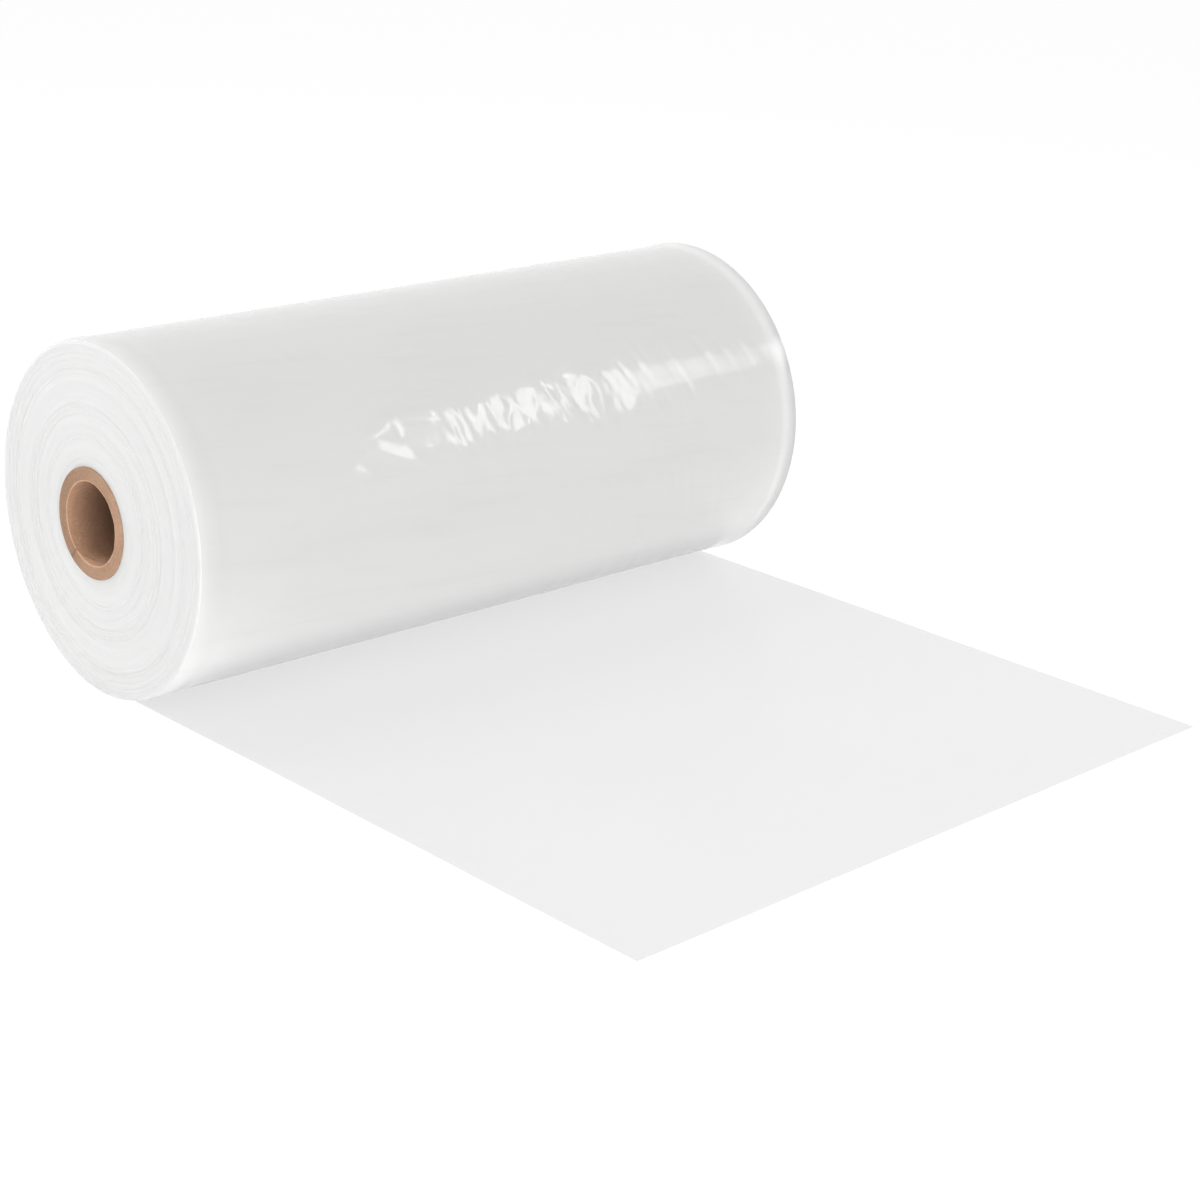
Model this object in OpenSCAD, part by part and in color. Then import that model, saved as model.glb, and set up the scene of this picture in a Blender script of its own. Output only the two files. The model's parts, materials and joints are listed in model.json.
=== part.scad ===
// A roll of clear polyethylene tubing on a board core.
// The tubing is a flattened, seamless film tube. It is wound tight on the core,
// and a length of it is pulled off and lies flat on the floor in front.
// X runs along the core, -Y is the way the tubing pulls off, and +Z is up.
// The origin is the middle of the core's bore.

/* [Tubing] */
// Width of the flattened tube, fold to fold
film_w = 711.2; // [300:0.1:1220]
// Thickness of one ply of film
film_gauge = 0.1; // [0.05:0.01:0.2]
// Air left between the two plies where the tube lies flat
ply_gap = 0.3; // [0.1:0.05:1]
// Length pulled off, along the -X edge, from the flat spot under the roll to the cut mouth
tail_l = 664; // [300:1:1500]
// How much shorter the hand-made cut leaves the tubing at its +X edge
mouth_slant = 14; // [0:1:30]

/* [Roll] */
// Diameter over the outermost turn
roll_d = 325; // [180:1:450]
// Width of the flat that the roll's weight presses into it
flat_w = 36; // [12:1:60]
// Sideways drift of the turns, from the first one to the rim
telescope = 12; // [0:0.5:20]
// Extra drift of the last few turns, which rounds the rim
rim_drift = 6; // [0:0.5:10]
// Groups of turns that show as rings on the ends
bands = 32; // [8:1:40]
// How far a group of turns steps out of line with its neighbours
wander = 0.7; // [0.1:0.05:1.5]

/* [Core] */
// Bore of the board core
core_bore = 76.2; // [50:0.1:110]
// Wall of the board core
core_wall = 12.7; // [5:0.1:16]
// How far the core stands out of the first turns, at each end
core_proud = 2; // [0.5:0.5:10]

/* [Hidden] */
$fn = 180;

// Power that keeps the rim's drift in its outermost turns
RIM_POWER = 16;
// Sides of the small round folds along the tubing's edges
FOLD_FN = 24;
// Angles in degrees that spread the groups' widths and steps without a visible repeat
WIDTH_ANGLE = 97;
STEP_ANGLES = [137, 71];
// Share of a group's width by which its edge may move
WIDTH_SPREAD = 0.35;
// How far a cut runs past the surface that it opens
overshoot = 1;

core_r = core_bore / 2 + core_wall;
core_l = film_w + 2 * core_proud;
roll_r = roll_d / 2;
// Height of the axis over the floor, once the flat spot is pressed in
axis_h = sqrt(pow(roll_r, 2) - pow(flat_w / 2, 2));
lay_t = 2 * film_gauge + ply_gap;
mouth_y = -flat_w / 2 - tail_l;
// Where the roll's surface lifts off the top ply
nip_y = -sqrt(pow(roll_r, 2) - pow(axis_h - lay_t, 2));

// Radius of the edge between two groups of turns
function edge_r(i) =
    core_r + (roll_r - core_r) * (i + (i > 0 && i < bands ? WIDTH_SPREAD * sin(WIDTH_ANGLE * i) : 0)) / bands;

// Sideways place of the turn at radius r, with 0 at the core and all the drift at the rim
function drift(r) =
    let (u = (r - core_r) / (roll_r - core_r)) telescope * u + rim_drift * pow(u, RIM_POWER);

// Sideways step of one group of turns; the outermost group has none, because the tail leaves it
function step_out(i) =
    i == bands - 1 ? 0 : wander * (sin(STEP_ANGLES[0] * i) + sin(STEP_ANGLES[1] * i) / 2) / 1.5;

// One end of the wound film, as [radius, sideways place] from the core out to the rim
turn_edges = [for (i = [0 : bands - 1]) each
    [[edge_r(i), drift(edge_r(i)) + step_out(i)], [edge_r(i + 1), drift(edge_r(i + 1)) + step_out(i)]]];

// The film keeps one width, so both ends of the roll carry the same steps
module wound_turns() {
    near_end = [for (p = turn_edges) [p[0], p[1] - film_w / 2]];
    far_end = [for (k = [len(turn_edges) - 1 : -1 : 0]) [turn_edges[k][0], turn_edges[k][1] + film_w / 2]];
    rotate([0, 90, 0])
        rotate_extrude()
            polygon(concat(near_end, far_end));
}

// Everything under the floor, which the flat spot gives way to
module floor_block() {
    side = film_w + roll_d;
    translate([-side / 2, -roll_d, -axis_h - roll_d])
        cube([side, 2 * roll_d, roll_d]);
}

// Section of a flattened tube: flat plies joined by a round fold at each edge
module flat_tube(w, t) {
    square([w - t, t], center = true);
    for (side = [-1, 1])
        translate([side * (w - t) / 2, 0])
            circle(d = t, $fn = FOLD_FN);
}

// Carries a section to the floor, with its length running forward from y = start to y = end
module along_floor(start, end) {
    translate([drift(roll_r), start, lay_t / 2 - axis_h])
        rotate([90, 0, 0])
            linear_extrude(height = start - end)
                children();
}

// What the slanted cut across the mouth takes off
module mouth_offcut() {
    translate([drift(roll_r) - film_w / 2, mouth_y, -axis_h - overshoot])
        rotate([0, 0, atan(mouth_slant / film_w)])
            translate([-overshoot, -film_w, 0])
                cube([2 * film_w, film_w, lay_t + 2 * overshoot]);
}

// The length pulled off, open at the mouth and pressed shut at the nip under the roll
module tail() {
    difference() {
        along_floor(0, mouth_y)
            flat_tube(film_w, lay_t);
        along_floor(nip_y - ply_gap, mouth_y - overshoot)
            flat_tube(film_w - 2 * film_gauge, ply_gap);
        mouth_offcut();
    }
}

module tubing() {
    color([0.88, 0.89, 0.89])
        union() {
            difference() {
                wound_turns();
                floor_block();
            }
            tail();
        }
}

// Spiral-wound board tube, cut square
module core() {
    color([0.62, 0.45, 0.33])
        rotate([0, 90, 0])
            difference() {
                cylinder(r = core_r, h = core_l, center = true);
                cylinder(d = core_bore, h = core_l + 2 * overshoot, center = true);
            }
}

core();
tubing();
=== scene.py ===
"""A roll of clear poly tubing on a board core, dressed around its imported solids."""

import json
import math
import random

import bmesh
import bpy
from mathutils import Matrix, Vector, noise

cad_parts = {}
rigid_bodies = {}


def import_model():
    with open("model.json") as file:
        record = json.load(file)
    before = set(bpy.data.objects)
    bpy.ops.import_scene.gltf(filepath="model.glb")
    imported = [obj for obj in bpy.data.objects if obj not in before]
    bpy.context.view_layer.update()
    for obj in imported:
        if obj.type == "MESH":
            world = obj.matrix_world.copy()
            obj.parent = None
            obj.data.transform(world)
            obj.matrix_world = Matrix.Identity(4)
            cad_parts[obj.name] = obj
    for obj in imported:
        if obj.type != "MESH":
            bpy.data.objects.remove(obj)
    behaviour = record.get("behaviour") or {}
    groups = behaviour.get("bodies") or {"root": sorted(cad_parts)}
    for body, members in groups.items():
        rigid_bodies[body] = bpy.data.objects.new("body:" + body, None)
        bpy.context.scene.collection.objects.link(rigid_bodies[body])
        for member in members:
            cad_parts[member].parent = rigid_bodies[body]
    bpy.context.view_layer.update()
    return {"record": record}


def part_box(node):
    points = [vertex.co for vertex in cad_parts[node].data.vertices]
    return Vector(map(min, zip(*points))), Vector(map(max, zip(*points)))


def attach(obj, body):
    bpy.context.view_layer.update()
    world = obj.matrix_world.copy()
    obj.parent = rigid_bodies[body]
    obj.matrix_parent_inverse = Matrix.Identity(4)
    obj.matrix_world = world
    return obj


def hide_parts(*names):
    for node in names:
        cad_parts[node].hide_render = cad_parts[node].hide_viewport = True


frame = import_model()

bl_info = {
    "name": "Poly Tubing Roll",
    "version": (1, 0, 0),
    "blender": (4, 5, 0),
    "location": "View3D > Sidebar > Roll",
    "description": "Builds the wound film, the length pulled off, the board core and a plain studio",
    "category": "Object",
}

MM = 0.001
SEED = 28

CORE_LOW, CORE_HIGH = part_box("core")
FILM_LOW, FILM_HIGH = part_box("tubing")
BORE_R = next(m for m in frame["record"]["mounts"] if m["name"] == "core_bore")["dims"]["r_mm"] * MM
CORE_R = CORE_HIGH.z
ROLL_R = FILM_HIGH.z
FLOOR_Z = FILM_LOW.z
MOUTH_Y = FILM_LOW.y
FILM_W = -2 * FILM_LOW.x
RIM_DRIFT = FILM_HIGH.x - FILM_W / 2

# How far round the outermost turns curve in, and in how many steps
SHOULDER_TURN = math.radians(60)
SHOULDER_STEPS = 8
# Widest riser between two groups of turns on the ends
RISER = 0.3 * MM
# Angle from the top round which the roll's faces lie closest
FRONT = math.radians(60)
# Height that a point may be off the roll's radius and still count as its surface
ON_SURFACE = 0.02 * MM
# Where the outer turn is slack: between which x it sets in and dies out, round which angle from the
# top, and how far to each side of it
SLACK_START, SLACK_END = (-0.1, -0.03), (0.12, 0.22)
SLACK_ANGLE, SLACK_SPREAD = 1.1, 0.35
# Between which x the outer turn draws taut
TAUT_START = (0.06, 0.14)
# Length at each end of the roll over which the folds and lines fade out
END_MARGIN = 15 * MM

FILM_IOR = 1.5
EVEN_SCATTER = (1.0, 1.0, 1.0)
# Length of core over which the spiral seam goes once round
SEAM_PITCH = 0.115

# Folds in the slack outer turn, each from one point to another, as x and the angle from the top in
# degrees, then the slope of its sides and half its width. Lengths are in millimetres.
FOLDS = (
    (-328, 3, -170, 5, 0.05, 7),
    (-172, 5, -40, 13, 0.055, 7),
    (-44, 12.6, 180, 26, 0.05, 8),
    (176, 25.6, 328, 33, 0.045, 8),
    (-124, 33, -5, 34.8, 0.055, 6),
    (-12, 34.4, 66, 34.6, 0.05, 6),
    (-213, 20.6, -192, 33.7, 0.055, 5),
    (-246, 30, -228, 41, 0.05, 5),
    (-180, 62.8, -121, 56.2, 0.085, 6.5),
    (-127, 56.2, -74, 60.4, 0.06, 5.5),
    (-130, 56.6, -125, 63.5, 0.07, 6),
    (-176, 63, -110, 72.5, 0.075, 12),
    (-194, 68, -164, 74.5, 0.085, 7),
    (-78, 53, -62, 68, 0.075, 4),
    (-60, 53, -44, 68, -0.07, 4),
    (48, 53, 72, 71, -0.075, 5),
    (76, 53, 92, 71, -0.05, 4),
    (96, 51, 118, 66, -0.07, 5),
    (120, 50, 138, 64, -0.07, 4),
    (146, 50, 168, 65, -0.08, 5),
)

# Tones of the wound film by the angle from the top, in half turns, with painted light and shade in
# them: darkest halfway round, and lightest low down, painted in place of the light that scatters in
# from a white floor.
FILM_TONES_WITH_PAINTED_LIGHT = (
    (0.0, 0.75),
    (0.25, 0.745),
    (0.38, 0.72),
    (0.5, 0.70),
    (0.58, 0.75),
    (0.64, 0.81),
    (0.7, 0.91),
    (0.76, 0.99),
)

# Softboxes that the roll mirrors, side by side: where each starts and ends, how far it is raised, its
# height and its radiance. Lengths are in metres.
SOFTBOX_PLACE, SOFTBOX_AIM = Vector((1.466, -1.502, 1.056)), Vector((0.04, -0.143, 0.076))
SOFTBOX_WAY = Vector((0.761, 0.526, -0.379))
SOFTBOXES = (
    (-0.17, 0.11, 0.0, 0.8, 3.3),
    (0.145, 0.2, 0.1, 0.5, 3.6),
    (0.24, 0.285, 0.12, 0.45, 3.0),
    (0.33, 0.37, 0.1, 0.4, 2.5),
    (0.42, 0.46, 0.1, 0.35, 2.2),
)
# Power of a rectangular lamp for each square metre and unit of radiance
LAMP_POWER = 4

# Fill lamps, which nothing mirrors: name, place, aim, width, height, power and way of the width
FILLS = (
    ("low_fill", (-0.2, -2.4, 0.1), (0.1, 0, -0.08), 2.0, 0.5, 28, (1, 0, 0)),
    ("back_fill", (-0.4, 1.4, 2.2), (0, 0, 0), 2.0, 2.0, 42, (1, 0, 0)),
    ("back_right", (1.6, 1.2, 1.6), (0.1, 0, 0), 1.6, 1.6, 5.7, (1, 0, 0)),
    ("side_fill", (-3.0, -0.6, 0.5), (-0.35, 0, 0), 1.6, 1.2, 17, (0, 1, 0)),
    ("side_back", (-2.4, 1.5, 0.8), (-0.35, 0, 0), 1.6, 1.2, 12, (1, 1, 0)),
)
# A small lamp that the edges of the turns on the near end mirror
EDGE_LAMP = ("edge_lamp", (-2.7, -1.09, 0.35), (-0.35, 0, 0), 0.4, 0.4, 3.0, (0, 1, 0))


def smooth(low, high, value):
    """0 up to low, 1 from high on, and an even rise between them."""
    t = min(max((value - low) / (high - low), 0.0), 1.0)
    return t * t * (3 - 2 * t)


def bump_at(middle, half_width, value):
    """1 at middle, falling evenly to 0 at half_width to either side."""
    return 1 - smooth(0, half_width, abs(value - middle))


class RollSizes(bpy.types.PropertyGroup):
    """Sizes of the wound film and its surface."""

    sides: bpy.props.IntProperty(name="Sides", description="Faces around the roll", default=208, min=32)
    long_cuts: bpy.props.IntProperty(
        name="Long cuts", description="First cuts along the roll's surface", default=100, min=8, max=100
    )
    fine_cuts: bpy.props.IntProperty(
        name="Fine cuts", description="Cuts in each part that the first cuts leave", default=2, min=0
    )
    front_crowding: bpy.props.FloatProperty(
        name="Front crowding",
        description="How much closer the faces lie on the upper front",
        default=0.6,
    )
    middle_crowding: bpy.props.FloatProperty(
        name="Middle crowding",
        description="How much closer the faces lie halfway along the roll",
        default=0.3,
    )
    turn_groups: bpy.props.IntProperty(
        name="Turn groups",
        description="Groups of turns that show as rings on the near end",
        default=46,
        min=8,
    )
    far_groups: bpy.props.IntProperty(
        name="Far groups",
        description="Groups of turns that show as rings on the far end",
        default=18,
        min=8,
    )
    shoulder_depth: bpy.props.FloatProperty(
        name="Shoulder depth",
        description="Thickness of the turns that draw back from the rim",
        default=2.5 * MM,
        unit="LENGTH",
    )
    shoulder_back: bpy.props.FloatProperty(
        name="Shoulder back",
        description="How far the outermost turn draws back",
        default=12.4 * MM,
        unit="LENGTH",
    )
    rim_swing: bpy.props.FloatProperty(
        name="Rim swing",
        description="How far the rim leans forward on its front side",
        default=3.5 * MM,
        unit="LENGTH",
    )
    turn_step: bpy.props.FloatProperty(
        name="Turn step",
        description="How far a group of turns stands in or out",
        default=0.45 * MM,
        unit="LENGTH",
    )
    ripple: bpy.props.FloatProperty(
        name="Ripple",
        description="Depth of the fine lines round the roll",
        default=0.5 * MM,
        unit="LENGTH",
    )
    crease: bpy.props.FloatProperty(
        name="Crease",
        description="Depth of the loose creases in the outer turn",
        default=0.8 * MM,
        unit="LENGTH",
    )


class TailSizes(bpy.types.PropertyGroup):
    """Sizes of the length of tubing pulled off the roll."""

    gauge: bpy.props.FloatProperty(
        name="Gauge", description="Thickness of one ply", default=0.1 * MM, unit="LENGTH"
    )
    lay: bpy.props.FloatProperty(
        name="Lay",
        description="Height of the flattened tube over its two plies",
        default=0.5 * MM,
        unit="LENGTH",
    )
    mouth_slant: bpy.props.FloatProperty(
        name="Mouth slant",
        description="How much shorter the cut leaves the far edge",
        default=14 * MM,
        unit="LENGTH",
    )
    cuts: bpy.props.IntProperty(name="Cuts", description="Cuts each way across the film", default=90, min=4)
    lift: bpy.props.FloatProperty(
        name="Lift",
        description="How far the film stands off the floor in its soft waves",
        default=1.0 * MM,
        unit="LENGTH",
    )


class CoreSizes(bpy.types.PropertyGroup):
    """Sizes of the board core's finish."""

    sides: bpy.props.IntProperty(name="Sides", description="Faces around the core", default=160, min=24)
    edge_round: bpy.props.FloatProperty(
        name="Edge round", description="Rounding of the cut edges", default=0.6 * MM, unit="LENGTH"
    )
    fray: bpy.props.FloatProperty(
        name="Fray", description="Unevenness of the cut board", default=0.5 * MM, unit="LENGTH"
    )


class StudioSizes(bpy.types.PropertyGroup):
    """The camera."""

    azimuth: bpy.props.FloatProperty(name="Azimuth", description="Camera direction", default=-43.722)
    elevation: bpy.props.FloatProperty(name="Elevation", description="Camera height angle", default=19.403)
    lean: bpy.props.FloatProperty(name="Lean", description="Camera turn about its view", default=2.157)
    place: bpy.props.FloatVectorProperty(
        name="Place", description="Camera position", default=(-1.5582, -1.905, 0.7244), subtype="XYZ"
    )
    lens: bpy.props.FloatProperty(name="Lens", description="Focal length in millimetres", default=79.46)


def deselect_all():
    bpy.ops.object.select_all(action="DESELECT")


def edit_piece(piece):
    """Makes piece the only selected object and opens it in edit mode with nothing selected."""
    deselect_all()
    piece.select_set(True)
    bpy.context.view_layer.objects.active = piece
    bpy.ops.object.mode_set(mode="EDIT")
    bpy.ops.mesh.select_all(action="DESELECT")


def pick(piece, mode, wanted):
    """Selects in edit mode the faces or edges for which wanted is true, and counts them."""
    bpy.ops.mesh.select_all(action="DESELECT")
    bpy.ops.mesh.select_mode(type=mode)
    mesh = bmesh.from_edit_mesh(piece.data)
    found = [e for e in (mesh.faces if mode == "FACE" else mesh.edges) if wanted(e)]
    for element in found:
        element.select = True
    mesh.select_flush_mode()
    bmesh.update_edit_mesh(piece.data)
    return len(found)


def along(edge, axis):
    """True for an edge that runs along one axis."""
    run = edge.verts[1].co - edge.verts[0].co
    return abs(run[axis]) > 0.999 * run.length


def end_profile(depth, back, groups, step):
    """Insets from the rim to the core, as (width, how far the turns stand out of the last ones).

    The outermost turns round off over depth and back, up to the crisp edge of the end's face.
    """
    insets = []
    for k in range(SHOULDER_STEPS):
        a, b = SHOULDER_TURN * k / SHOULDER_STEPS, SHOULDER_TURN * (k + 1) / SHOULDER_STEPS
        width = depth * (math.cos(a) - math.cos(b)) / (1 - math.cos(SHOULDER_TURN))
        insets.append((width, back * (math.sin(b) - math.sin(a)) / math.sin(SHOULDER_TURN)))
    draw = random.Random(SEED)
    room = ROLL_R - CORE_R - depth
    fall = RIM_DRIFT - back
    shares = [draw.uniform(0.4, 1.6) for _ in range(groups)]
    level = 0.0
    for share in shares:
        width = room * share / sum(shares)
        riser = min(RISER, width / 3)
        new_level = draw.uniform(-step, step)
        insets.append((width - riser, fall * width / room))
        insets.append((riser, new_level - level))
        level = new_level
    width, out = insets[-1]
    insets[-1] = (width, out - level)
    return insets


def inset_rings(piece, side, insets):
    """Winds one end; side is -1 for the near end and 1 for the far one, whose steps go the other way."""
    if pick(piece, "FACE", lambda f: f.normal.x * side > 0.99) != 1:
        raise RuntimeError("the roll's end face wasn't found")
    for width, out in insets:
        bpy.ops.mesh.inset(thickness=width, depth=-side * out)


def crowd_front(co, crowding):
    """Draws the roll's points together on its upper front."""
    r, angle = math.hypot(co.y, co.z), math.atan2(-co.y, co.z)
    turned = angle - crowding * math.sin(angle - FRONT)
    co.y, co.z = -r * math.sin(turned), r * math.cos(turned)


def fold_height(x, arc, fold):
    """Height of a straight fold with a crisp ridge and pointed ends; lengths are in millimetres."""
    x1, angle1, x2, angle2, slope, half_width = fold
    x -= x1
    arc -= ROLL_R / MM * math.radians(angle1)
    run_x, run_arc = x2 - x1, ROLL_R / MM * math.radians(angle2 - angle1)
    length = math.hypot(run_x, run_arc)
    share = (x * run_x + arc * run_arc) / length ** 2
    beside = abs(x * run_arc - arc * run_x) / length
    reach = half_width * min(1.0, 3.5 * share, 3.5 * (1 - share))
    return slope * max(0.0, reach - beside)


def crumple_height(x, arc):
    """Slack film that has fallen into slanted facets, from about -1 to 1."""
    lean = x - 0.25 * arc
    broad = noise.noise(Vector((lean * 34, arc * 24, 5.3)))
    small = noise.noise(Vector((lean * 80, arc * 48, 9.1)))
    return 1.0 - 2.2 * abs(broad) - 1.0 * abs(small)


def line_height(x, arc):
    """Fine slanted lines round the roll, where its turns are a touch thicker, from about -1 to 1."""
    lean = x - 0.35 * (arc - 0.176)
    drift = 0.008 * noise.noise(Vector((x * 6, arc * 8, 3.1)))
    fine = noise.noise(Vector(((lean + drift) * 130, arc * 14, 7.7)))
    broad = noise.noise(Vector(((lean + drift) * 60, arc * 20, 1.9)))
    return 0.5 * fine + 0.5 * broad


def surface_move(x, angle, sizes):
    """How far the outer turn stands out at one point; angle runs from the top towards the front."""
    arc = ROLL_R * angle
    near, far = RIM_DRIFT - FILM_W / 2, RIM_DRIFT + FILM_W / 2
    ends = smooth(0, END_MARGIN, x - near) * smooth(0, END_MARGIN, far - x)
    slack = smooth(*SLACK_START, x) * (1 - smooth(*SLACK_END, x))
    slack *= bump_at(SLACK_ANGLE, SLACK_SPREAD, angle)
    taut = smooth(*TAUT_START, x)
    move = sizes.ripple * (0.06 + 0.94 * taut) * line_height(x, arc)
    move += 0.9 * sizes.crease * slack * crumple_height(x, arc)
    move += 0.5 * sizes.crease * noise.noise(Vector((x * 4, arc * 5, 0.4)))
    for fold in FOLDS:
        move += MM * fold_height(x / MM, arc / MM, fold)
    return ends * (move - sizes.crease)


def build_wound_film(sizes):
    bpy.ops.mesh.primitive_cylinder_add(
        vertices=sizes.sides,
        radius=ROLL_R,
        depth=FILM_W,
        end_fill_type="NGON",
        location=(RIM_DRIFT, 0, 0),
        rotation=(0, math.pi / 2, 0),
    )
    roll = bpy.context.active_object
    roll.name = roll.data.name = "wound_film"
    bpy.ops.object.transform_apply(location=True, rotation=True, scale=True)
    edit_piece(roll)
    for cuts in (sizes.long_cuts, sizes.fine_cuts):
        if pick(roll, "EDGE", lambda e: along(e, 0)) < sizes.sides:
            raise RuntimeError("the roll's long edges weren't found")
        bpy.ops.mesh.subdivide(number_cuts=cuts)
    depth, back, step = sizes.shoulder_depth, sizes.shoulder_back, sizes.turn_step
    inset_rings(roll, -1, end_profile(depth, back, sizes.turn_groups, step))
    inset_rings(roll, 1, end_profile(4 * depth, back / 2, sizes.far_groups, step))
    pick(roll, "FACE", lambda f: len(f.verts) == sizes.sides)
    bpy.ops.mesh.delete(type="FACE")
    pick(roll, "EDGE", lambda e: len(e.link_faces) == 1)
    bpy.ops.mesh.bridge_edge_loops()
    bpy.ops.object.mode_set(mode="OBJECT")
    for vertex in roll.data.vertices:
        co = vertex.co
        crowd_front(co, sizes.front_crowding)
        r, angle = math.hypot(co.y, co.z), math.atan2(-co.y, co.z)
        inside = ROLL_R - r
        co.x += sizes.rim_swing * co.y / ROLL_R * min(inside / sizes.shoulder_depth, 1.0)
        if inside < ON_SURFACE:
            share = 2 * math.pi * (co.x - RIM_DRIFT) / FILM_W
            co.x -= sizes.middle_crowding * FILM_W / (2 * math.pi) * math.sin(share)
            new_r = r + surface_move(co.x, angle, sizes)
            co.y *= new_r / r
            co.z *= new_r / r
        co.z = max(co.z, FLOOR_Z)
    bpy.ops.object.shade_smooth_by_angle(angle=math.radians(35))
    return roll


def build_tail(sizes):
    width, length = FILM_W, -MOUTH_Y
    bpy.ops.mesh.primitive_cube_add(
        size=1,
        location=(RIM_DRIFT, MOUTH_Y / 2, FLOOR_Z + sizes.lay / 2),
        scale=(width, length, sizes.lay),
    )
    tail = bpy.context.active_object
    tail.name = tail.data.name = "pulled_tubing"
    bpy.ops.object.transform_apply(location=True, rotation=True, scale=True)
    edit_piece(tail)
    if pick(tail, "EDGE", lambda e: along(e, 1)) != 4:
        raise RuntimeError("the tubing's long edges weren't found")
    bpy.ops.mesh.bevel(offset=sizes.lay * 0.49, offset_type="OFFSET", segments=4, affect="EDGES")
    if pick(tail, "FACE", lambda f: f.normal.y < -0.99) != 1:
        raise RuntimeError("the tubing's mouth wasn't found")
    bpy.ops.mesh.inset(thickness=sizes.gauge, depth=0)
    depth = 0.95 * length
    bpy.ops.mesh.extrude_region_move(TRANSFORM_OT_translate={"value": (0, depth, 0)})
    pick(tail, "EDGE", lambda e: along(e, 1))
    bpy.ops.mesh.subdivide(number_cuts=sizes.cuts)
    pick(tail, "EDGE", lambda e: along(e, 0) and e.calc_length() > width / 2)
    bpy.ops.mesh.subdivide(number_cuts=sizes.cuts)
    bpy.ops.object.mode_set(mode="OBJECT")
    for vertex in tail.data.vertices:
        co = vertex.co
        reach = co.y / MOUTH_Y
        across = (co.x - RIM_DRIFT) / FILM_W + 0.5
        co.y += sizes.mouth_slant * across * reach
        wave = 0.5 + 0.5 * noise.noise(Vector((co.x * 5, co.y * 6, 2.2)))
        wave += 0.25 * noise.noise(Vector((co.x * 15, co.y * 13, 8.4)))
        co.z += sizes.lift * max(wave, 0) * smooth(0.08, 0.3, reach)
    bpy.ops.object.shade_smooth_by_angle(angle=math.radians(50))
    return tail


def build_core(sizes):
    bpy.ops.mesh.primitive_cylinder_add(
        vertices=sizes.sides,
        radius=CORE_R,
        depth=CORE_HIGH.x - CORE_LOW.x,
        end_fill_type="NGON",
        rotation=(0, math.pi / 2, 0),
    )
    core = bpy.context.active_object
    core.name = core.data.name = "board_core"
    bpy.ops.object.transform_apply(location=True, rotation=True, scale=True)
    edit_piece(core)
    if pick(core, "FACE", lambda f: abs(f.normal.x) > 0.99) != 2:
        raise RuntimeError("the core's ends weren't found")
    bpy.ops.mesh.inset(thickness=(CORE_R - BORE_R) / 2, depth=0)
    bpy.ops.mesh.inset(thickness=(CORE_R - BORE_R) / 2, depth=0)
    bpy.ops.mesh.bridge_edge_loops()
    pick(core, "EDGE", lambda e: along(e, 0))
    bpy.ops.mesh.subdivide(number_cuts=24)
    half = CORE_HIGH.x - 1e-5
    middle_r = (CORE_R + BORE_R) / 2

    def at_end_corner(edge):
        a, b = (v.co for v in edge.verts)
        at_end = abs(a.x) > half and abs(b.x) > half
        ra, rb = math.hypot(a.y, a.z), math.hypot(b.y, b.z)
        return at_end and abs(ra - rb) < 1e-5 and abs(ra - middle_r) > 1 * MM

    pick(core, "EDGE", at_end_corner)
    bpy.ops.mesh.bevel(offset=sizes.edge_round, offset_type="OFFSET", segments=3, affect="EDGES")
    bpy.ops.object.mode_set(mode="OBJECT")
    for vertex in core.data.vertices:
        co = vertex.co
        r, angle = math.hypot(co.y, co.z), math.atan2(co.y, co.z)
        near_end = smooth(half - 6 * MM, half, abs(co.x))
        inner = 1 - smooth(BORE_R, BORE_R + 1.5 * MM, r)
        torn = noise.noise(Vector((math.sin(angle) * 5, math.cos(angle) * 5, co.x * 9)))
        torn += 0.6 * noise.noise(Vector((math.sin(angle) * 17, math.cos(angle) * 17, co.x * 9)))
        new_r = r + sizes.fray * near_end * inner * torn
        co.x -= math.copysign(0.4 * sizes.fray, co.x) * near_end * abs(torn) * (0.3 + inner)
        co.y *= new_r / r
        co.z *= new_r / r
    bpy.ops.object.shade_smooth_by_angle(angle=math.radians(40))
    return core


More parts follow.
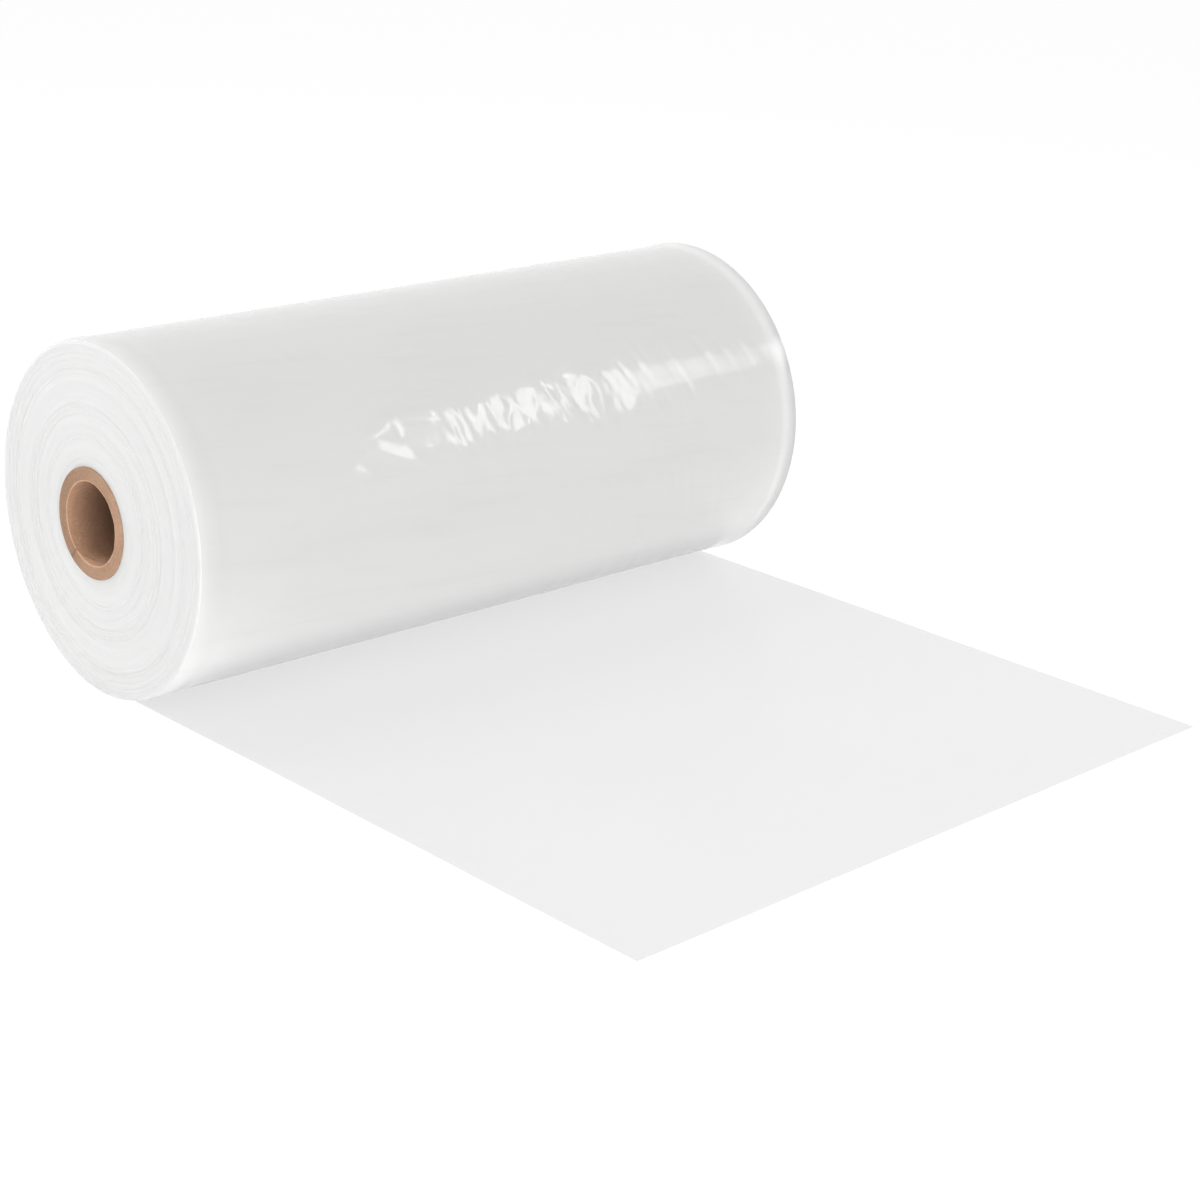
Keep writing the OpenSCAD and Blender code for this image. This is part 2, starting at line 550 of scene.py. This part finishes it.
class Finish:
    """A material's node tree, with short ways to add and join nodes."""

    def __init__(self, name):
        self.material = bpy.data.materials.new(name)
        self.material.use_nodes = True
        self.nodes = self.material.node_tree.nodes
        self.links = self.material.node_tree.links
        self.nodes.clear()
        self.output = self.add("ShaderNodeOutputMaterial")
        self.objects = self.add("ShaderNodeTexCoord").outputs["Object"]

    def add(self, kind, **settings):
        node = self.nodes.new(kind)
        for key, value in settings.items():
            setattr(node, key, value)
        return node

    def feed(self, socket, value):
        """Joins an output to a socket, or sets the socket to a plain value."""
        if isinstance(value, bpy.types.NodeSocket):
            self.links.new(value, socket)
        else:
            socket.default_value = value

    def math(self, operation, *values):
        node = self.add("ShaderNodeMath", operation=operation)
        for socket, value in zip(node.inputs, values):
            self.feed(socket, value)
        return node.outputs[0]

    def vector(self, x, y, z):
        node = self.add("ShaderNodeCombineXYZ")
        for socket, value in zip(node.inputs, (x, y, z)):
            self.feed(socket, value)
        return node.outputs[0]

    def scale(self, vector, factor):
        node = self.add("ShaderNodeVectorMath", operation="SCALE")
        self.feed(node.inputs[0], vector)
        self.feed(node.inputs["Scale"], factor)
        return node.outputs[0]

    def split(self, vector):
        node = self.add("ShaderNodeSeparateXYZ")
        self.feed(node.inputs[0], vector)
        return node.outputs

    def noise(self, vector, scale, detail=2.0, roughness=0.5):
        node = self.add("ShaderNodeTexNoise")
        self.feed(node.inputs["Vector"], vector)
        node.inputs["Scale"].default_value = scale
        node.inputs["Detail"].default_value = detail
        node.inputs["Roughness"].default_value = roughness
        return node.outputs["Fac"]

    def ramp(self, factor, stops):
        """A colour for each factor; stops hold a place and a colour or a plain grey."""
        node = self.add("ShaderNodeValToRGB")
        ramp = node.color_ramp
        for index, (place, colour) in enumerate(stops):
            stop = ramp.elements[index] if index < 2 else ramp.elements.new(place)
            stop.position = place
            stop.color = (*(colour if isinstance(colour, tuple) else 3 * (colour,)), 1)
        self.feed(node.inputs[0], factor)
        return node.outputs["Color"]

    def range(self, value, low, high, start=0.0, end=1.0):
        """An even change from low to high while value goes from start to end."""
        node = self.add("ShaderNodeMapRange")
        self.feed(node.inputs["Value"], value)
        node.inputs["From Min"].default_value = start
        node.inputs["From Max"].default_value = end
        node.inputs["To Min"].default_value = low
        node.inputs["To Max"].default_value = high
        return node.outputs[0]

    def bump(self, height, distance, strength):
        node = self.add("ShaderNodeBump")
        self.feed(node.inputs["Height"], height)
        node.inputs["Distance"].default_value = distance
        node.inputs["Strength"].default_value = strength
        return node.outputs["Normal"]

    def principled(self, **sockets):
        node = self.add("ShaderNodeBsdfPrincipled")
        for key, value in sockets.items():
            self.feed(node.inputs[key.replace("_", " ")], value)
        self.links.new(node.outputs[0], self.output.inputs["Surface"])

    def round_the_axis(self):
        """Distance from the roll's axis and the angle round it, with the join at the bottom."""
        x, y, z = self.split(self.objects)
        across = self.math("MULTIPLY", y, y)
        up = self.math("MULTIPLY", z, z)
        radius = self.math("SQRT", self.math("ADD", across, up))
        angle = self.math("ARCTAN2", self.math("MULTIPLY", y, -1.0), z)
        return x, radius, angle


def film_body_finish():
    """Many plies of clear film over each other: milky, glossy, with fine lines round the roll, and painted
    light and shade in their colour.
    """
    finish = Finish("film_wound")
    x, _, angle = finish.round_the_axis()
    arc = finish.math("MULTIPLY", angle, ROLL_R)
    lines_at = finish.vector(x, finish.math("MULTIPLY", arc, 0.06), 0.0)
    lines = finish.noise(lines_at, 260.0, 3.0, 0.6)
    cloud = finish.noise(finish.vector(x, arc, 0.0), 5.0, 3.0, 0.5)
    from_top = finish.math("MULTIPLY", finish.math("ABSOLUTE", angle), 1 / math.pi)
    # Painted light and shade: the film's colour is graded by the angle from the top.
    tone_and_painted_light = finish.ramp(from_top, FILM_TONES_WITH_PAINTED_LIGHT)
    tone_and_painted_light = finish.math("MULTIPLY", tone_and_painted_light, finish.range(cloud, 0.98, 1.02))
    # Painted shade: dark streaks along the roll, painted in the colour as the shade of fine creases.
    slant = finish.math("SUBTRACT", arc, finish.math("MULTIPLY", x, 0.1))
    painted_crease_shade_at = finish.vector(finish.math("MULTIPLY", x, 0.1), slant, 0.0)
    painted_crease_shade = finish.ramp(finish.noise(painted_crease_shade_at, 70.0, 3.0, 0.6), [(0.36, 0.985), (0.46, 1.0)])
    tone_and_painted_light = finish.math("MULTIPLY", tone_and_painted_light, painted_crease_shade)
    # Painted shade darkens the film at the near end, and painted light brightens it at the far end.
    for places, factors in (((-0.345, -0.32), (0.95, 1.0)), ((0.352, 0.37), (1.0, 1.25))):
        tone_and_painted_light = finish.math("MULTIPLY", tone_and_painted_light, finish.range(x, *factors, *places))
    finish.principled(
        Base_Color=finish.vector(tone_and_painted_light, tone_and_painted_light, finish.math("MULTIPLY", tone_and_painted_light, 0.992)),
        Roughness=finish.range(cloud, 0.06, 0.1),
        Normal=finish.bump(lines, 0.02 * MM, 0.6),
        IOR=FILM_IOR,
        Subsurface_Weight=1.0,
        Subsurface_Radius=EVEN_SCATTER,
        Subsurface_Scale=40 * MM,
    )
    return finish.material


def film_end_finish():
    """The edges of the wound turns: fine rings that catch the light across their run, and painted shade
    near the core.
    """
    finish = Finish("film_edges")
    _, radius, _ = finish.round_the_axis()
    wander = finish.math("MULTIPLY", finish.noise(finish.objects, 9.0), 1.5 * MM)
    ring_r = finish.math("ADD", radius, wander)
    rings = finish.noise(finish.vector(ring_r, 0.0, 0.0), 900.0, 3.0, 0.7)
    bands = finish.noise(finish.vector(ring_r, 2.0, 0.0), 120.0, 2.0, 0.6)
    both = finish.math("MULTIPLY", rings, 0.45)
    both = finish.math("ADD", both, finish.math("MULTIPLY", bands, 0.55))
    colour = finish.ramp(both, [(0.3, 0.75), (0.7, (0.835, 0.835, 0.83))])
    # Painted shade: the end is painted darker over the last 10 mm towards the core.
    painted_shade_by_core = finish.range(radius, 0.9, 1.0, CORE_R, CORE_R + 10 * MM)
    tangent = finish.add("ShaderNodeTangent", direction_type="RADIAL", axis="X")
    finish.principled(
        Base_Color=finish.scale(colour, painted_shade_by_core),
        Roughness=finish.range(bands, 0.3, 0.42),
        Normal=finish.bump(rings, 0.05 * MM, 0.5),
        IOR=FILM_IOR,
        Anisotropic=0.8,
        Anisotropic_Rotation=0.25,
        Tangent=tangent.outputs[0],
        Subsurface_Weight=0.35,
        Subsurface_Radius=EVEN_SCATTER,
        Subsurface_Scale=8 * MM,
    )
    return finish.material


def film_flat_finish():
    """Clear film lying on a floor, with each of its skins nearly clear."""
    finish = Finish("film_flat")
    cloud = finish.noise(finish.objects, 4.0, 3.0, 0.5)
    fine = finish.noise(finish.objects, 60.0, 3.0, 0.5)
    finish.principled(
        Base_Color=finish.ramp(cloud, [(0.3, 0.47), (0.7, 0.53)]),
        Roughness=finish.range(cloud, 0.18, 0.3),
        Normal=finish.bump(fine, 0.02 * MM, 0.3),
        IOR=FILM_IOR,
        Alpha=0.07,
    )
    return finish.material


def kraft_finish():
    """Kraft board: pressed fibres, layers on the cut ends and a spiral seam, with a bore painted light at
    its mouth and dark deeper in, and one side painted darker.
    """
    finish = Finish("kraft_board")
    x, radius, angle = finish.round_the_axis()
    fibres = finish.noise(finish.objects, 420.0, 4.0, 0.65)
    blotches = finish.noise(finish.objects, 38.0, 3.0, 0.55)
    arc = finish.math("MULTIPLY", angle, BORE_R)
    layers_at = finish.vector(radius, finish.math("MULTIPLY", arc, 0.03), 0.0)
    layers = finish.noise(layers_at, 700.0, 2.0, 0.6)
    turn = finish.math("MULTIPLY", x, 1 / SEAM_PITCH)
    turn = finish.math("ADD", turn, finish.math("MULTIPLY", angle, 0.5 / math.pi))
    seam = finish.math("ABSOLUTE", finish.math("SUBTRACT", finish.math("FRACT", turn), 0.5))
    seam = finish.math("LESS_THAN", seam, 0.006)
    mixed = finish.math("MULTIPLY", fibres, 0.45)
    for part, share in ((blotches, 0.35), (layers, 0.2), (seam, -0.16)):
        mixed = finish.math("ADD", mixed, finish.math("MULTIPLY", part, share))
    colour = finish.ramp(
        mixed, [(0.25, (0.3, 0.165, 0.1)), (0.5, (0.47, 0.285, 0.185)), (0.75, (0.6, 0.4, 0.28))]
    )
    # Painted light and shade: the bore is painted lighter at its mouth and darker deeper in, and outside
    # the bore the board is painted darker towards +y.
    inside = finish.math("LESS_THAN", radius, BORE_R + 1 * MM)
    depth = finish.math("SUBTRACT", CORE_HIGH.x, finish.math("ABSOLUTE", x))
    painted_bore_light_and_shade = finish.range(depth, 1.5, 0.28, 0.0, 0.055)
    painted_side_shade = finish.range(finish.split(finish.objects)[1], 1.0, 0.78, -0.044, 0.044)
    painted_light_and_shade = finish.math("MULTIPLY", finish.math("SUBTRACT", 1.0, inside), painted_side_shade)
    painted_light_and_shade = finish.math("ADD", finish.math("MULTIPLY", inside, painted_bore_light_and_shade), painted_light_and_shade)
    height = finish.math("MULTIPLY", finish.math("ADD", fibres, layers), 0.5)
    height = finish.math("SUBTRACT", height, seam)
    finish.principled(
        Base_Color=finish.scale(colour, painted_light_and_shade),
        Roughness=finish.range(blotches, 0.75, 0.92),
        Normal=finish.bump(height, 0.15 * MM, 0.6),
    )
    return finish.material


def backdrop_finish():
    """A white floor that the camera sees as white but for a light shadow."""
    finish = Finish("white_floor")
    path = finish.add("ShaderNodeLightPath").outputs
    seen = finish.math("MAXIMUM", path["Is Camera Ray"], path["Is Glossy Ray"])
    seen = finish.math("MAXIMUM", seen, path["Is Transmission Ray"])
    plain = finish.add("ShaderNodeBsdfDiffuse")
    plain.inputs["Color"].default_value = (0.92, 0.92, 0.92, 1)
    white = finish.add("ShaderNodeEmission")
    white.inputs["Color"].default_value = (1, 1, 1, 1)
    white.inputs["Strength"].default_value = 1.04
    mix = finish.add("ShaderNodeMixShader")
    mixed = (finish.math("MULTIPLY", seen, 0.92), plain.outputs[0], white.outputs[0])
    for socket, output in zip(mix.inputs, mixed):
        finish.feed(socket, output)
    finish.feed(finish.output.inputs["Surface"], mix.outputs[0])
    return finish.material


def axes_at(place, right, up, back):
    """Matrix of an object at place with its own axes along right, up and back."""
    return Matrix.Translation(place) @ Matrix((right, up, back)).transposed().to_4x4()


def add_light(name, place, aim, width, height, power, way, mirrored=False):
    """A rectangular softbox at place that faces aim, with its width along way."""
    data = bpy.data.lights.new(name, "AREA")
    data.shape = "RECTANGLE"
    data.size, data.size_y = width, height
    data.energy = power
    light = bpy.data.objects.new(name, data)
    bpy.context.scene.collection.objects.link(light)
    back = (Vector(place) - Vector(aim)).normalized()
    up = back.cross(Vector(way)).normalized()
    light.matrix_world = axes_at(place, up.cross(back), up, back)
    light.visible_camera = False
    light.visible_glossy = mirrored


def hang_softboxes():
    """Hangs the panels that the roll mirrors, side by side in one slanted plane."""
    up = (SOFTBOX_PLACE - SOFTBOX_AIM).cross(SOFTBOX_WAY).normalized()
    for index, (start, end, rise, height, radiance) in enumerate(SOFTBOXES):
        width = end - start
        move = (start + end) / 2 * SOFTBOX_WAY + rise * up
        place, aim = SOFTBOX_PLACE + move, SOFTBOX_AIM + move
        power = LAMP_POWER * width * height * radiance
        add_light(f"softbox_{index}", place, aim, width, height, power, SOFTBOX_WAY, mirrored=True)


def build_camera(studio):
    a, e = math.radians(studio.azimuth), math.radians(studio.elevation)
    back = Vector((math.sin(a) * math.cos(e), -math.cos(a) * math.cos(e), math.sin(e)))
    right = Vector((0, 0, 1)).cross(back).normalized()
    up = back.cross(right)
    turn = math.radians(studio.lean)
    right, up = (
        math.cos(turn) * right + math.sin(turn) * up,
        math.cos(turn) * up - math.sin(turn) * right,
    )
    data = bpy.data.cameras.new("camera")
    data.lens, data.sensor_width = studio.lens, 36.0
    camera = bpy.data.objects.new("camera", data)
    bpy.context.scene.collection.objects.link(camera)
    camera.matrix_world = axes_at(studio.place, right, up, back)
    bpy.context.scene.camera = camera


def build_world():
    """Soft light from all round, which the camera and mirroring surfaces see as plain white."""
    world = bpy.data.worlds.new("studio")
    world.use_nodes = True
    nodes, links = world.node_tree.nodes, world.node_tree.links
    nodes.clear()
    path = nodes.new("ShaderNodeLightPath").outputs
    seen = nodes.new("ShaderNodeMath")
    seen.operation = "MAXIMUM"
    links.new(path["Is Camera Ray"], seen.inputs[0])
    links.new(path["Is Glossy Ray"], seen.inputs[1])
    mix = nodes.new("ShaderNodeMixShader")
    links.new(seen.outputs[0], mix.inputs["Fac"])
    for socket, strength in ((mix.inputs[1], 0.36), (mix.inputs[2], 1.0)):
        air = nodes.new("ShaderNodeBackground")
        air.inputs["Color"].default_value = (1, 1, 1, 1)
        air.inputs["Strength"].default_value = strength
        links.new(air.outputs[0], socket)
    output = nodes.new("ShaderNodeOutputWorld")
    links.new(mix.outputs[0], output.inputs["Surface"])
    bpy.context.scene.world = world


class ROLL_OT_wound_film(bpy.types.Operator):
    """Build the wound turns of film"""

    bl_idname = "roll.wound_film"
    bl_label = "Wound film"

    def execute(self, context):
        sizes = context.scene.roll_sizes
        roll = build_wound_film(sizes)
        roll.data.materials.append(film_body_finish())
        roll.data.materials.append(film_end_finish())
        edge_x = RIM_DRIFT - FILM_W / 2 - 0.9 * sizes.shoulder_back
        for face in roll.data.polygons:
            swing = 0.6 * face.center.y * sizes.rim_swing / ROLL_R
            on_near_end = face.center.x < edge_x + swing
            face.material_index = int(abs(face.normal.x) > 0.7 or on_near_end)
        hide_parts("tubing")
        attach(roll, "root")
        return {"FINISHED"}


class ROLL_OT_pulled_tubing(bpy.types.Operator):
    """Build the length of flattened tubing pulled off the roll"""

    bl_idname = "roll.pulled_tubing"
    bl_label = "Pulled tubing"

    def execute(self, context):
        tail = build_tail(context.scene.tail_sizes)
        tail.data.materials.append(film_flat_finish())
        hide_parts("tubing")
        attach(tail, "root")
        return {"FINISHED"}


class ROLL_OT_board_core(bpy.types.Operator):
    """Build the spiral-wound board core"""

    bl_idname = "roll.board_core"
    bl_label = "Board core"

    def execute(self, context):
        core = build_core(context.scene.core_sizes)
        core.data.materials.append(kraft_finish())
        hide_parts("core")
        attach(core, "root")
        return {"FINISHED"}


class ROLL_OT_studio(bpy.types.Operator):
    """Build the floor, the lights and the camera"""

    bl_idname = "roll.studio"
    bl_label = "Studio"

    def execute(self, context):
        deselect_all()
        bpy.ops.mesh.primitive_plane_add(size=40, location=(0, 0, FLOOR_Z - 0.2 * MM))
        floor = context.active_object
        floor.name = "floor"
        floor.data.materials.append(backdrop_finish())
        build_world()
        hang_softboxes()
        for fill in FILLS:
            add_light(*fill)
        add_light(*EDGE_LAMP, mirrored=True)
        build_camera(context.scene.studio_sizes)
        context.scene.view_settings.view_transform = "Standard"
        return {"FINISHED"}


class ROLL_PT_panel(bpy.types.Panel):
    """The roll's pieces, in the order that they are built"""

    bl_label = "Poly tubing roll"
    bl_idname = "ROLL_PT_panel"
    bl_space_type = "VIEW_3D"
    bl_region_type = "UI"
    bl_category = "Roll"

    def draw(self, context):
        for operator in OPERATORS:
            self.layout.operator(operator.bl_idname)


GROUPS = {
    "roll_sizes": RollSizes,
    "tail_sizes": TailSizes,
    "core_sizes": CoreSizes,
    "studio_sizes": StudioSizes,
}
OPERATORS = [ROLL_OT_board_core, ROLL_OT_wound_film, ROLL_OT_pulled_tubing, ROLL_OT_studio]


def register():
    for one in (*GROUPS.values(), *OPERATORS, ROLL_PT_panel):
        bpy.utils.register_class(one)
    for name, group in GROUPS.items():
        setattr(bpy.types.Scene, name, bpy.props.PointerProperty(type=group))


def unregister():
    for name in GROUPS:
        delattr(bpy.types.Scene, name)
    for one in (ROLL_PT_panel, *OPERATORS, *GROUPS.values()):
        bpy.utils.unregister_class(one)


def main():
    register()
    bpy.ops.roll.board_core()
    bpy.ops.roll.wound_film()
    bpy.ops.roll.pulled_tubing()
    bpy.ops.roll.studio()


if __name__ == "__main__":
    main()
